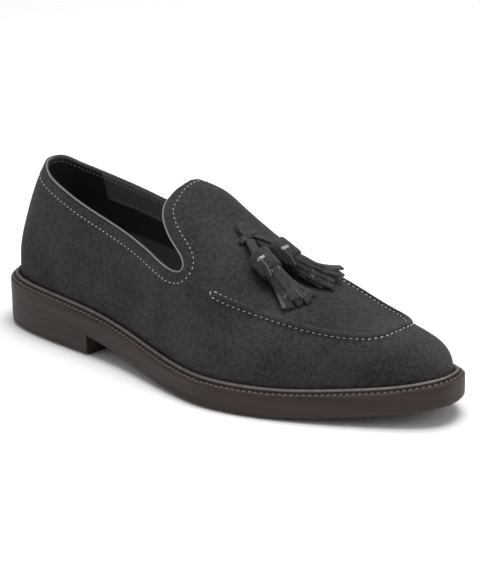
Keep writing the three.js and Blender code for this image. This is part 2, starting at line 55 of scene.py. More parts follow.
# Camera
# A long lens from the front of the outer side, a little above the instep and rolled one degree.
MM = 0.001
CAMERA_TURN = math.radians(40.6447)
CAMERA_RISE = math.radians(19.0132)
CAMERA_ROLL = math.radians(-1.1213)
CAMERA_PLACE = Vector((1.3589, -1.5662, 0.7575))
LENS_MM = 246.5


def make_camera():
    back = Vector((
        math.sin(CAMERA_TURN) * math.cos(CAMERA_RISE),
        -math.cos(CAMERA_TURN) * math.cos(CAMERA_RISE),
        math.sin(CAMERA_RISE),
    ))
    level = Vector((math.cos(CAMERA_TURN), math.sin(CAMERA_TURN), 0))
    upright = back.cross(level)
    right = level * math.cos(CAMERA_ROLL) + upright * math.sin(CAMERA_ROLL)
    up = upright * math.cos(CAMERA_ROLL) - level * math.sin(CAMERA_ROLL)
    data = bpy.data.cameras.new("camera")
    data.lens = LENS_MM
    camera = bpy.data.objects.new("camera", data)
    turn = Matrix((right, up, back)).transposed().to_4x4()
    camera.matrix_world = Matrix.Translation(CAMERA_PLACE) @ turn
    bpy.context.scene.collection.objects.link(camera)
    bpy.context.scene.camera = camera


make_camera()

# Floor and studio light
# A plain pale floor under an even white surround, with large soft lights from above, from the
# camera's left and from the toe's side.


def add_object(name, mesh):
    piece = bpy.data.objects.new(name, mesh)
    bpy.context.scene.collection.objects.link(piece)
    return piece


def new_material(name):
    material = bpy.data.materials.new(name)
    material.use_nodes = True
    nodes = material.node_tree.nodes
    return material, nodes, material.node_tree.links, nodes["Principled BSDF"]


FLOOR_REACH = 6
FLOOR_COLOUR = (0.96, 0.96, 0.96)
SURROUND_STRENGTH = 0.4

floor_mesh = bpy.data.meshes.new("floor")
floor_bm = bmesh.new()
bmesh.ops.create_grid(floor_bm, x_segments=1, y_segments=1, size=FLOOR_REACH)
floor_bm.to_mesh(floor_mesh)
floor_bm.free()
floor = add_object("floor", floor_mesh)
paper, _, _, paper_shader = new_material("floor_paper")
paper_shader.inputs["Base Color"].default_value = (*FLOOR_COLOUR, 1)
paper_shader.inputs["Roughness"].default_value = 0.9
paper_shader.inputs["Specular IOR Level"].default_value = 0.0
floor_mesh.materials.append(paper)

world = bpy.data.worlds.new("surround")
world.use_nodes = True
world.node_tree.nodes["Background"].inputs["Color"].default_value = (1, 1, 1, 1)
world.node_tree.nodes["Background"].inputs["Strength"].default_value = SURROUND_STRENGTH
bpy.context.scene.world = world
bpy.context.scene.view_settings.view_transform = "Standard"


LIT_PLACE = Vector((0, 0, 30 * MM))


def softbox(name, place, size, watts):
    """A large soft light that faces the shoe."""
    data = bpy.data.lights.new(name, "AREA")
    data.shape = "RECTANGLE"
    data.size, data.size_y = size
    data.energy = watts
    light = bpy.data.objects.new(name, data)
    light.location = place
    light.rotation_mode = "QUATERNION"
    light.rotation_quaternion = (LIT_PLACE - Vector(place)).to_track_quat("-Z", "Y")
    bpy.context.scene.collection.objects.link(light)


softbox("light_top", place=(0.1, 0.15, 1.3), size=(1.2, 1.0), watts=19)
softbox("light_left", place=(-0.6, -1.3, 0.9), size=(0.9, 0.9), watts=1.2)
softbox("light_toe", place=(1.4, 0.2, 0.7), size=(0.7, 0.7), watts=3)

# Sole
# A dark brown rubber outsole of one thickness, with a low heel block glued under its back.
# Both were moulded smooth and show faint streaks along their sides.


WELD = 0.01 * MM
JOINED_TURN = math.radians(50)
JOINED_SHAPE = math.radians(80)
CREASE_TURN = math.radians(60)
SHADE_TURN = math.radians(50)


def merged(node):
    """A bmesh of a CAD node with its triangles joined to four-sided faces."""
    bm = bmesh.new()
    bm.from_mesh(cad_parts[node].data)
    bmesh.ops.remove_doubles(bm, verts=bm.verts, dist=WELD)
    bmesh.ops.join_triangles(
        bm, faces=bm.faces, angle_face_threshold=JOINED_TURN, angle_shape_threshold=JOINED_SHAPE,
    )
    return bm


def creased(bm, angle, value=1.0):
    """Holds the edges that turn by more than an angle while the mesh is subdivided."""
    layer = bm.edges.layers.float.new("crease_edge")
    for edge in bm.edges:
        if len(edge.link_faces) == 2 and edge.calc_face_angle(0) > angle:
            edge[layer] = value


def subdivided(bm, name, levels):
    """A new object from a bmesh with its subdivision applied."""
    mesh = bpy.data.meshes.new(name)
    bm.to_mesh(mesh)
    bm.free()
    piece = add_object(name, mesh)
    if levels:
        modifier = piece.modifiers.new("rounding", "SUBSURF")
        modifier.levels = modifier.render_levels = levels
        graph = bpy.context.evaluated_depsgraph_get()
        whole = bpy.data.meshes.new_from_object(piece.evaluated_get(graph))
        piece.modifiers.clear()
        piece.data = whole
        bpy.data.meshes.remove(mesh)
        whole.name = name
    for polygon in piece.data.polygons:
        polygon.use_smooth = True
    return piece


def sharpened(piece, angle):
    """Keeps the shading split where the surface turns by more than an angle."""
    bm = bmesh.new()
    bm.from_mesh(piece.data)
    for edge in bm.edges:
        edge.smooth = len(edge.link_faces) != 2 or edge.calc_face_angle(0) < angle
    bm.to_mesh(piece.data)
    bm.free()


def stretched_noise(nodes, links, scale, stretch, detail):
    """A noise on the object's own coordinates, longer along one direction."""
    place = nodes.new("ShaderNodeTexCoord")
    mapping = nodes.new("ShaderNodeMapping")
    mapping.inputs["Scale"].default_value = stretch
    noise = nodes.new("ShaderNodeTexNoise")
    noise.inputs["Scale"].default_value = scale
    noise.inputs["Detail"].default_value = detail
    links.new(place.outputs["Object"], mapping.inputs["Vector"])
    links.new(mapping.outputs["Vector"], noise.inputs["Vector"])
    return noise


def mixed_colour(nodes, links, value, dark, light, low=0.35, high=0.65):
    """Two colours mixed by a value between two limits."""
    ramp = nodes.new("ShaderNodeValToRGB")
    ramp.color_ramp.elements[0].position = low
    ramp.color_ramp.elements[1].position = high
    ramp.color_ramp.elements[0].color = (*dark, 1)
    ramp.color_ramp.elements[1].color = (*light, 1)
    links.new(value, ramp.inputs["Fac"])
    return ramp.outputs["Color"]


def bumped(nodes, links, shader, value, strength, distance):
    """A bump from a value, in millimetres."""
    bump = nodes.new("ShaderNodeBump")
    bump.inputs["Strength"].default_value = strength
    bump.inputs["Distance"].default_value = distance * MM
    links.new(value, bump.inputs["Height"])
    links.new(bump.outputs["Normal"], shader.inputs["Normal"])


def sole_rubber(name, dark, light):
    material, nodes, links, shader = new_material(name)
    streaks = stretched_noise(nodes, links, scale=60, stretch=(0.12, 0.12, 5), detail=4)
    colour = mixed_colour(nodes, links, streaks.outputs["Fac"], dark, light, low=0.3, high=0.7)
    links.new(colour, shader.inputs["Base Color"])
    shader.inputs["Roughness"].default_value = 0.55
    shader.inputs["Specular IOR Level"].default_value = 0.2
    grain = stretched_noise(nodes, links, scale=900, stretch=(0.3, 0.3, 2.5), detail=3)
    bumped(nodes, links, shader, grain.outputs["Fac"], strength=0.25, distance=0.15)
    return material


def placed(piece, node):
    """Puts a finished piece in the place of its CAD node."""
    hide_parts(node)
    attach(piece, "root")


SOLE_DARK = (0.026, 0.0178, 0.0158)
SOLE_LIGHT = (0.048, 0.0338, 0.0304)
HEEL_OVERLAP = 3.5 * MM
SOLE_OVERLAP = 0.5 * MM


def glued(bm, distance):
    """Raises the top of a layer into the one above, as no gap shows between them."""
    bm.normal_update()
    for vert in {vert for face in bm.faces if face.normal.z > 0.7 for vert in face.verts}:
        vert.co.z += distance


outsole = merged("outsole")
glued(outsole, SOLE_OVERLAP)
creased(outsole, CREASE_TURN)
outsole = subdivided(outsole, "outsole_rubber", 2)
sharpened(outsole, SHADE_TURN)
outsole.data.materials.append(sole_rubber("sole_rubber", SOLE_DARK, SOLE_LIGHT))
placed(outsole, "outsole")

heel = merged("heel")
glued(heel, HEEL_OVERLAP)
creased(heel, CREASE_TURN)
heel = subdivided(heel, "heel_block", 2)
sharpened(heel, SHADE_TURN)
heel.data.materials.append(sole_rubber("heel_rubber", SOLE_DARK, SOLE_LIGHT))
placed(heel, "heel")

# Welt
# A strip sewn to the sole all round with thick waxed thread, which lies in a dark channel. A
# rounded bead of lighter rubber stands up between the channel and the upper, and its top is
# painted lighter still as a painted highlight along the bead.


def chains(edges):
    """Ordered runs of vertices along joined edges."""
    left = dict.fromkeys(edges)
    degrees = Counter(vert for edge in left for vert in edge.verts)
    starts = [vert for vert, count in degrees.items() if count == 1]
    runs = []
    while left:
        vert = starts.pop() if starts else next(iter(left)).verts[0]
        run = [vert]
        onward = [edge for edge in vert.link_edges if edge in left]
        while onward:
            del left[onward[0]]
            vert = onward[0].other_vert(vert)
            run.append(vert)
            onward = [edge for edge in vert.link_edges if edge in left]
        if len(run) > 1:
            runs.append(run)
    return runs


def places_of(run):
    return [vert.co.copy() for vert in run]


def relaxed(path, rounds):
    """The same path with its corners smoothed and its ends kept."""
    for _ in range(rounds):
        middle = [(a + b * 2 + c) / 4 for a, b, c in zip(path, path[1:], path[2:])]
        path = [path[0], *middle, path[-1]]
    return path


def resampled(path, pitch):
    """Points at an even pitch along a path, each with the path's direction there."""
    total = sum((b - a).length for a, b in zip(path, path[1:]))
    step = total / max(round(total / pitch), 2)
    places = []
    wanted, passed = step / 2, 0.0
    for a, b in zip(path, path[1:]):
        span = (b - a).length
        while span > 0 and wanted <= passed + span:
            places.append((a.lerp(b, (wanted - passed) / span), (b - a).normalized()))
            wanted += step
        passed += span
    return places


def tree_of(mesh, wanted=None):
    """A search tree of a mesh, or of the faces of one material."""
    polygons = [p for p in mesh.polygons if wanted is None or p.material_index == wanted]
    return BVHTree.FromPolygons([v.co for v in mesh.vertices], [p.vertices for p in polygons])


# Outline of a stitch along its length: size and height as shares of the thread's width
STITCH_ROWS = ((-0.5, 0.35, -0.35), (-0.3, 0.9, 0.1), (0, 1, 0.2), (0.3, 0.9, 0.1), (0.5, 0.35, -0.35))
THREAD_SIDES = 6


def add_stitch(bm, place, along, up, length, width, slant):
    """One stitch: a short thread that dips into the surface at both ends."""
    along = Matrix.Rotation(slant, 3, up) @ (along - up * along.dot(up)).normalized()
    aside = up.cross(along)
    turns = [i * math.tau / THREAD_SIDES for i in range(THREAD_SIDES)]
    rings = []
    for share, size, rise in STITCH_ROWS:
        centre = place + along * length * share + up * width * rise
        reach = width * size / 2
        rings.append([
            bm.verts.new(centre + (aside * math.cos(a) + up * math.sin(a)) * reach) for a in turns
        ])
    for one, two in zip(rings, rings[1:]):
        for i in range(THREAD_SIDES):
            j = (i + 1) % THREAD_SIDES
            bm.faces.new((one[i], one[j], two[j], two[i]))
    bm.faces.new(rings[0][::-1])
    bm.faces.new(rings[-1])


def finished(bm, name, materials, node=None):
    """The object of a bmesh, smooth, with its materials, in its place on the shoe."""
    bmesh.ops.recalc_face_normals(bm, faces=bm.faces)
    mesh = bpy.data.meshes.new(name)
    bm.to_mesh(mesh)
    bm.free()
    for polygon in mesh.polygons:
        polygon.use_smooth = True
    piece = add_object(name, mesh)
    for material in materials:
        mesh.materials.append(material)
    if node:
        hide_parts(node)
    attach(piece, "root")
    return piece


def stitch_row(name, path, tree, pitch, length, width, material, slant=0.0):
    """A row of stitches laid along a path on a surface."""
    bm = bmesh.new()
    for place, along in resampled(path, pitch * MM):
        spot, up, _, _ = tree.find_nearest(place)
        add_stitch(bm, spot, along, up, length * MM, width * MM, slant)
    return finished(bm, name, [material])


def plain_material(name, colour, roughness):
    material, _, _, shader = new_material(name)
    shader.inputs["Base Color"].default_value = (*colour, 1)
    shader.inputs["Roughness"].default_value = roughness
    return material


def outline_of(bm):
    """The outline of a flat piece, as the highest and widest loop where its side meets its top."""
    bm.normal_update()
    upright = {face for face in bm.faces if abs(face.normal.z) < 0.5}
    runs = chains(e for e in bm.edges if len(upright.intersection(e.link_faces)) == 1)
    widest = max(runs, key=lambda run: sum(v.co.xy.length + v.co.z for v in run) / len(run))
    return places_of(widest)


def moved_in(path, margin):
    """A closed path moved inwards by a margin in millimetres, seen from above."""
    loop = path[:-1]
    area = sum(a.x * b.y - b.x * a.y for a, b in zip(path, path[1:]))
    reach = math.copysign(margin * MM, area)
    moved = []
    for before, point, after in zip(loop[-1:] + loop[:-1], loop, loop[1:] + loop[:1]):
        along = (after - before).normalized()
        moved.append(point + Vector((-along.y, along.x, 0)) * reach)
    return moved + moved[:1]


RIM, CHANNEL, BEAD_TONE_AND_HIGHLIGHT = 0, 1, 2
CHANNEL_START = 0.8
BEAD_START = 2.7
BEAD_END = 5.0
THREAD_LINE = 1.7
OUTLINE_PITCH = 1 * MM
WELT_TURN = math.radians(50)
# Bead colours: its own lighter rubber together with a painted highlight along its rounded top
BEAD_AND_HIGHLIGHT_DARK = (0.075, 0.066, 0.065)
BEAD_AND_HIGHLIGHT_LIGHT = (0.115, 0.102, 0.1)
CHANNEL_COLOUR = (0.012, 0.008, 0.008)
WAXED_THREAD = (0.12, 0.075, 0.06)

welt = merged("welt")
outline = outline_of(welt)
fine_outline = [place for place, _ in resampled(outline, OUTLINE_PITCH)]
for face in welt.faces:
    centre = face.calc_center_median()
    margin = min((centre.xy - point.xy).length for point in fine_outline) / MM
    # The top of the bead takes the lighter colour, partly its own rubber and partly a painted
    # highlight
    if BEAD_START < margin < BEAD_END and face.normal.z > 0:
        face.material_index = BEAD_TONE_AND_HIGHLIGHT
    elif margin > CHANNEL_START and face.normal.z > 0:
        face.material_index = CHANNEL
creased(welt, WELT_TURN)
welt = subdivided(welt, "welt_strip", 2)
sharpened(welt, SHADE_TURN)

# The bead's material: lighter rubber with a painted highlight mixed into its colour
bead_rubber_and_highlight, nodes, links, shader = new_material("bead_rubber_and_highlight")
grain = stretched_noise(nodes, links, scale=300, stretch=(1, 1, 1), detail=3)
colour = mixed_colour(nodes, links, grain.outputs["Fac"], BEAD_AND_HIGHLIGHT_DARK, BEAD_AND_HIGHLIGHT_LIGHT)
links.new(colour, shader.inputs["Base Color"])
shader.inputs["Roughness"].default_value = 0.5
welt.data.materials.append(sole_rubber("welt_rubber", SOLE_DARK, SOLE_LIGHT))
welt.data.materials.append(plain_material("welt_channel", CHANNEL_COLOUR, roughness=0.8))
welt.data.materials.append(bead_rubber_and_highlight)
placed(welt, "welt")

waxed_thread = plain_material("waxed_thread", WAXED_THREAD, roughness=0.45)
stitch_row(
    "welt_stitches", moved_in(outline, THREAD_LINE), tree_of(welt.data),
    pitch=3.4, length=3.0, width=1.15, material=waxed_thread, slant=math.radians(14),
)

# Insole
# The footbed, a board covered in smooth dark leather.

FOOTBED_DARK = (0.11, 0.11, 0.10)
FOOTBED_LIGHT = (0.16, 0.158, 0.145)

insole = merged("insole")
creased(insole, CREASE_TURN)
insole = subdivided(insole, "footbed", 2)
sharpened(insole, SHADE_TURN)
insole_material, nodes, links, shader = new_material("insole_leather")
grain = stretched_noise(nodes, links, scale=600, stretch=(1, 1, 1), detail=4)
colour = mixed_colour(nodes, links, grain.outputs["Fac"], FOOTBED_DARK, FOOTBED_LIGHT)
links.new(colour, shader.inputs["Base Color"])
shader.inputs["Roughness"].default_value = 0.6
bumped(nodes, links, shader, grain.outputs["Fac"], strength=0.3, distance=0.1)
insole.data.materials.append(insole_material)
placed(insole, "insole")

# Upper
# Dark grey calf suede, lasted over a right foot form and lined with smooth leather: near black
# round the heel, grey along the quarters down to a stitched edge, and olive grey round the foot.

SUEDE_DARK = (0.018, 0.0158, 0.0172)
SUEDE_LIGHT = (0.050, 0.0448, 0.0472)
SHEEN_TINT = (0.75, 0.71, 0.72)


def blended(nodes, links, one, two, share):
    """Two values mixed by a share of the second."""
    blend = nodes.new("ShaderNodeMix")
    blend.data_type = "FLOAT"
    blend.inputs["Factor"].default_value = share
    links.new(one, blend.inputs[2])
    links.new(two, blend.inputs[3])
    return blend.outputs[0]


def suede(name, dark, light):
    """Suede: a mottled nap with a soft sheen, and slow changes of tone over the piece."""
    material, nodes, links, shader = new_material(name)
    shader.inputs["Roughness"].default_value = 0.95
    shader.inputs["Specular IOR Level"].default_value = 0.1
    shader.inputs["Sheen Weight"].default_value = 0.1
    shader.inputs["Sheen Roughness"].default_value = 0.5
    shader.inputs["Sheen Tint"].default_value = (*SHEEN_TINT, 1)
    fibres = stretched_noise(nodes, links, scale=1100, stretch=(1, 1, 1), detail=3)
    blotches = stretched_noise(nodes, links, scale=420, stretch=(1, 1, 1), detail=4)
    tones = stretched_noise(nodes, links, scale=30, stretch=(1, 1, 1), detail=2)
    nap = blended(nodes, links, fibres.outputs["Fac"], blotches.outputs["Fac"], 0.45)
    whole = blended(nodes, links, nap, tones.outputs["Fac"], 0.3)
    colour = mixed_colour(nodes, links, whole, dark, light, low=0.4, high=0.6)
    links.new(colour, shader.inputs["Base Color"])
    bumped(nodes, links, shader, nap, strength=0.6, distance=0.3)
    return material


OUTSIDE, LINING, EDGE = 0, 1, 2
HEEL_BACK = min(corner[0] for corner in cad_box)
SPINE_START = HEEL_BACK + 47 * MM
SPINE_END = HEEL_BACK + 265 * MM
MIDLINE = 9.5 * MM
SPINE_HEIGHT = 28 * MM
FLAT_TURN = math.radians(8)
CORNER_TURN = math.radians(55)
RIDGE_TURN = math.radians(40)
OPPOSED = -0.6


def shoe_place(along, aside, height):
    """A place in millimetres from the back of the heel, from the midline to the medial side, and
    from the floor."""
    return Vector((along * MM + HEEL_BACK, aside * MM + MIDLINE, height * MM))


def flat_parts(face):
    """A face, and where it is a triangle also the faces that carry it on without a bend."""
    if len(face.verts) > 3:
        return [face]
    level = [edge for edge in face.edges if edge.calc_face_angle(math.pi) < FLAT_TURN]
    return list(dict.fromkeys(part for edge in level for part in edge.link_faces)) or [face]


def sorted_faces(bm):
    """Tells the faces outside from the lining and from the cut edge between them."""
    bm.normal_update()
    for face in bm.faces:
        centre = face.calc_center_median()
        spine = Vector((min(max(centre.x, SPINE_START), SPINE_END), MIDLINE, SPINE_HEIGHT))
        face.material_index = OUTSIDE if face.normal.dot(centre - spine) > 0 else LINING
    for face in bm.faces:
        beside = [
            other.normal
            for part in flat_parts(face)
            for edge in part.edges
            for other in edge.link_faces
            if other is not part and edge.calc_face_angle(0) > CORNER_TURN
        ]
        facing = [a.dot(b) for a in beside for b in beside]
        if facing and min(facing) < OPPOSED:
            face.material_index = EDGE


def is_outside(edge):
    return all(face.material_index == OUTSIDE for face in edge.link_faces)


upper = merged("upper")
sorted_faces(upper)
ridge_edges = [
    edge for edge in upper.edges
    if is_outside(edge) and edge.calc_face_angle_signed(0) > RIDGE_TURN
]
ridge = max((places_of(run) for run in chains(ridge_edges)), key=len)
RIDGE_PITCH = 4 * MM
RIDGE_ROUNDS = 14
RIDGE_REACH = 9 * MM
ROUND_IN = 0.5
ROUND_OUT = -0.53


def evened(path, rounds):
    """Takes the small bends out of a path and keeps the large ones: each round pulls the bends in
    and then pushes them out again."""
    for share in (ROUND_IN, ROUND_OUT) * rounds:
        middle = [b + ((a + c) / 2 - b) * share for a, b, c in zip(path, path[1:], path[2:])]
        path = [path[0], *middle, path[-1]]
    return path


# The leather under the raised seam follows the seam where that is evened out
drawn = [place for place, _ in resampled(ridge, RIDGE_PITCH)]
ridge = evened(drawn, RIDGE_ROUNDS)
for vert in upper.verts:
    away, i = min(((place - vert.co).length, i) for i, place in enumerate(drawn))
    if away < RIDGE_REACH:
        vert.co += (ridge[i] - drawn[i]) * (1 - (away / RIDGE_REACH) ** 2)
creased(upper, CREASE_TURN)
upper = subdivided(upper, "upper_suede", 2)

# Soft creases of the leather: each is a trough, or a ridge where it is raised
CREASES = (
    {
        "place": shoe_place(157, -46, 63), "heading": (0.6, -0.1, 0.6),
        "length": 7, "width": 2.2, "raised": -0.9,
    },
    {
        "place": shoe_place(153, -46, 62), "heading": (0.5, -0.1, 0.7),
        "length": 7, "width": 2.0, "raised": -0.9,
    },
    {
        "place": shoe_place(149, -46, 62), "heading": (0.3, -0.1, 0.8),
        "length": 6, "width": 2.0, "raised": -0.8,
    },
    {
        "place": shoe_place(205, -50, 38), "heading": (0.3, 0.2, 1),
        "length": 16, "width": 6, "raised": -0.5,
    },
    {
        "place": shoe_place(190, -50, 42), "heading": (0.45, 0.2, 1),
        "length": 20, "width": 7, "raised": 0.45,
    },
    {
        "place": shoe_place(52, -34, 45), "heading": (0.5, 0, 1),
        "length": 18, "width": 8, "raised": -0.5,
    },
    {
        "place": shoe_place(96, -38, 42), "heading": (0.9, 0, 0.6),
        "length": 22, "width": 8, "raised": 0.5,
    },
)
FADED = 6


def settle(mesh, creases):
    """Presses soft creases into the leather."""
    normals = [vert.normal.copy() for vert in mesh.vertices]
    for crease in creases:
        heading = Vector(crease["heading"]).normalized()
        for vert, normal in zip(mesh.vertices, normals):
            away = vert.co - crease["place"]
            lengthwise = away.dot(heading)
            across = (away - heading * lengthwise).length
            fade = (lengthwise / (crease["length"] * MM)) ** 2 + (across / (crease["width"] * MM)) ** 2
            if fade < FADED:
                vert.co += normal * crease["raised"] * MM * math.exp(-fade)


settle(upper.data, CREASES)

lining, nodes, links, shader = new_material("lining")
place = nodes.new("ShaderNodeTexCoord")
parts = nodes.new("ShaderNodeSeparateXYZ")
links.new(place.outputs["Object"], parts.inputs["Vector"])
LINING_SEAM = HEEL_BACK + 47.5 * MM
BAND_BACK = 69.4 * MM
BAND_SLOPE = -0.205
FOOT_START = HEEL_BACK + 59.7 * MM
FOOT_BACK = 50.2 * MM
FOOT_SLOPE = -0.107
HEEL_LINING = (0.015, 0.015, 0.021)
BAND_LINING = (0.105, 0.103, 0.112)
FOOT_LINING = (0.095, 0.097, 0.089)


def compared(nodes, links, value, limit):
    """One where a value is over a limit, zero elsewhere."""
    check = nodes.new("ShaderNodeMath")
    check.operation = "GREATER_THAN"
    links.new(value, check.inputs[0])
    check.inputs[1].default_value = limit
    return check.outputs[0]


def above_line(nodes, links, parts, start, height, slope):
    """One above a line that has a height at its start and slopes along the shoe, zero below."""
    rise = nodes.new("ShaderNodeMath")
    rise.operation = "MULTIPLY_ADD"
    links.new(parts.outputs["X"], rise.inputs[0])
    rise.inputs[1].default_value = -slope
    links.new(parts.outputs["Z"], rise.inputs[2])
    return compared(nodes, links, rise.outputs[0], height - slope * start)


before_seam = compared(nodes, links, parts.outputs["X"], LINING_SEAM)
above_edge = above_line(nodes, links, parts, LINING_SEAM, BAND_BACK, BAND_SLOPE)
above_foot = above_line(nodes, links, parts, FOOT_START, FOOT_BACK, FOOT_SLOPE)
on_band = nodes.new("ShaderNodeMath")
on_band.operation = "MULTIPLY"
links.new(before_seam, on_band.inputs[0])
links.new(above_edge, on_band.inputs[1])
high_lining = nodes.new("ShaderNodeMix")
high_lining.data_type = "RGBA"
links.new(on_band.outputs[0], high_lining.inputs["Factor"])
high_lining.inputs[6].default_value = (*HEEL_LINING, 1)
high_lining.inputs[7].default_value = (*BAND_LINING, 1)
whole_lining = nodes.new("ShaderNodeMix")
whole_lining.data_type = "RGBA"
links.new(above_foot, whole_lining.inputs["Factor"])
whole_lining.inputs[6].default_value = (*FOOT_LINING, 1)
links.new(high_lining.outputs[2], whole_lining.inputs[7])
links.new(whole_lining.outputs[2], shader.inputs["Base Color"])
shader.inputs["Roughness"].default_value = 0.6
grain = stretched_noise(nodes, links, scale=500, stretch=(1, 1, 1), detail=4)
bumped(nodes, links, shader, grain.outputs["Fac"], strength=0.3, distance=0.12)

upper_material = suede("upper_suede", SUEDE_DARK, SUEDE_LIGHT)
upper.data.materials.append(upper_material)
upper.data.materials.append(lining)
upper.data.materials.append(upper_material)
placed(upper, "upper")
outside_tree = tree_of(upper.data, OUTSIDE)
lining_tree = tree_of(upper.data, LINING)

# Raised seam
# The vamp and the apron are sewn edge to edge over a cord, so that a round roll of suede stands
# up along the seam. A row of off-white thread runs down either side and round the start.

ROLL_WIDTH = 3.5
ROLL_HEIGHT = 2.2
ROLL_SINK = 0.35
SEAM_ROW = 2.15
ROLL_SIDES = 10
ROLL_START = 0.25
ROLL_GROWTH = 0.3


def roll_along(bm, stations, width, height):
    """A rounded roll through stations of place, direction and outward direction, with its ends
    drawn in."""
    last = len(stations) - 1
    rings = []
    for i, (place, along, up) in enumerate(stations):
        size = min(1, ROLL_START + ROLL_GROWTH * min(i, last - i))
        aside = up.cross(along).normalized()
        turns = [j * math.tau / ROLL_SIDES for j in range(ROLL_SIDES)]
        rings.append([
            bm.verts.new(place + (aside * math.cos(a) * width + up * math.sin(a) * height) * size / 2)
            for a in turns
        ])
    for one, two in zip(rings, rings[1:]):
        for j in range(ROLL_SIDES):
            k = (j + 1) % ROLL_SIDES
            bm.faces.new((one[j], one[k], two[k], two[j]))
    bm.faces.new(rings[0][::-1])
    bm.faces.new(rings[-1])


SEAM_SPREAD = 3.6
SEAM_PITCH = 1.6 * MM
SEAM_TRIM = 2
seam_stations = []
for place, along in resampled(relaxed(ridge, 2), SEAM_PITCH)[SEAM_TRIM:-SEAM_TRIM]:
    spot, up, _, _ = outside_tree.find_nearest(place)
    for _ in range(2):
        aside = up.cross(along).normalized() * SEAM_SPREAD * MM
        slopes = [outside_tree.find_nearest(spot + aside * way)[1] for way in (-1, 1)]
        up = (slopes[0] + slopes[1]).normalized()
    seam_stations.append((spot, along, up))
for _ in range(3):
    middle = [
        (b[0], b[1], (a[2] + b[2] * 2 + c[2]).normalized())
        for a, b, c in zip(seam_stations, seam_stations[1:], seam_stations[2:])
    ]
    seam_stations = [seam_stations[0], *middle, seam_stations[-1]]

roll = bmesh.new()
sunk = [(place - up * ROLL_SINK * MM, along, up) for place, along, up in seam_stations]
roll_along(roll, sunk, ROLL_WIDTH * MM, ROLL_HEIGHT * MM)
finished(roll, "seam_roll", [upper_material])


def beside(stations, reach):
    """A path at a distance in millimetres from the seam, over its sides."""
    return [place + up.cross(along).normalized() * reach * MM for place, along, up in stations]


def round_end(station, reach, heading):
    """Half a turn round an end of the seam."""
    place, along, up = station
    aside = up.cross(along).normalized()
    angles = [math.pi * i / 6 for i in range(1, 6)]
    return [place + (aside * math.cos(a) + along * heading * math.sin(a)) * reach * MM for a in angles]


THREAD_COLOUR = (0.43, 0.41, 0.385)
off_white = plain_material("off_white_thread", THREAD_COLOUR, roughness=0.6)
left_row = beside(seam_stations, SEAM_ROW)
right_row = beside(seam_stations, -SEAM_ROW)
first_end = round_end(seam_stations[0], SEAM_ROW, -1)
last_end = round_end(seam_stations[-1], SEAM_ROW, 1)
seam_path = [*left_row, *last_end, *right_row[::-1], *first_end[::-1], left_row[0]]
stitch_row(
    "seam_stitches", relaxed(seam_path, 2), outside_tree,
    pitch=3.4, length=2.2, width=0.72, material=off_white, slant=math.radians(6),
)

# Collar
# A row of small off-white stitches follows the collar and the tongue a little inside the edge.
# A grey row holds the lining there, and another holds the lower edge of its grey band.

COLLAR_LOW = 55 * MM
COLLAR_ROW = 6.6
HEEL_ROW = 9.0
TONGUE_START = HEEL_BACK + 112 * MM
HEEL_END = HEEL_BACK + 40 * MM


def collar_rim(mesh, surface):
    """Pairs of points along the collar's edge: one on the edge, and one a little way down a
    surface beside it."""
    bm = bmesh.new()
    bm.from_mesh(mesh)
    bm.normal_update()
    rim_edges = [
        edge for edge in bm.edges
        if {face.material_index for face in edge.link_faces} == {surface, EDGE}
    ]
    high = [run for run in chains(rim_edges) if sum(v.co.z for v in run) / len(run) > COLLAR_LOW]
    run = max(high, key=len)
    pairs = []
    for one, two in zip(run, run[1:]):
        edge = next(e for e in one.link_edges if e.other_vert(one) is two)
        face = next(f for f in edge.link_faces if f.material_index == surface)
        middle = (one.co + two.co) / 2
        along = (two.co - one.co).normalized()
        inwards = face.calc_center_median() - middle
        pairs.append((middle, (inwards - along * inwards.dot(along)).normalized()))
    bm.free()
    return pairs


def row_reach(place):
    """Distance of the stitches from the edge, which grows towards the back of the heel."""
    share = max((HEEL_END - place.x) / (HEEL_END - HEEL_BACK), 0)
    return COLLAR_ROW + (HEEL_ROW - COLLAR_ROW) * share


WALK = 5


def row_beside(pairs, reach_at, rounds, tree):
    """A path that keeps its distance from an edge, measured over the surface."""
    path = []
    for place, inwards in pairs:
        heading = inwards
        step = reach_at(place) * MM / WALK
        for _ in range(WALK):
            spot, _, _, _ = tree.find_nearest(place + heading * step)
            if (spot - place).length > 0:
                heading = (spot - place).normalized()
            place = spot
        path.append(place)
    path = relaxed(path, rounds)
    return path + path[:1]


rim = collar_rim(upper.data, OUTSIDE)
stitch_row(
    "collar_stitches", row_beside(rim, row_reach, 8, outside_tree), outside_tree,
    pitch=3.2, length=1.35, width=0.64, material=off_white,
)
LINING_ROW = 3.0
BAND_ROW = 1.5
BAND_PITCH = 2
BAND_PLACES = 24
LINING_THREAD = (0.24, 0.24, 0.25)
lining_rim = collar_rim(upper.data, LINING)
lining_path = row_beside(lining_rim, lambda place: LINING_ROW, 6, lining_tree)
lining_thread = plain_material("lining_thread", LINING_THREAD, roughness=0.6)
stitch_row(
    "lining_stitches", lining_path, lining_tree,
    pitch=2.4, length=1.6, width=0.6, material=lining_thread,
)

band_path = []
for step in range(BAND_PLACES):
    along = LINING_SEAM + (step + 1) * BAND_PITCH * MM
    height = BAND_BACK + BAND_SLOPE * (along - LINING_SEAM) + BAND_ROW * MM
    spot, _, _, _ = lining_tree.ray_cast(Vector((along, MIDLINE, height)), Vector((0, 1, 0)))
    if spot:
        band_path.append(spot)
stitch_row(
    "band_stitches", band_path, lining_tree,
    pitch=2.4, length=1.6, width=0.6, material=lining_thread,
)

# Light edge of the collar
# The cut edge is burnished and dyed a light grey where it faces outwards. It shows as a thin
# round line from the back of the heel along the outer side and up the side of the tongue.

EDGE_WIDTH = 0.9
EDGE_PITCH = 1.5 * MM
EDGE_TONGUE = MIDLINE - 15 * MM
EDGE_SHIFT = 1.5
EDGE_COLOUR = (0.16, 0.172, 0.188)

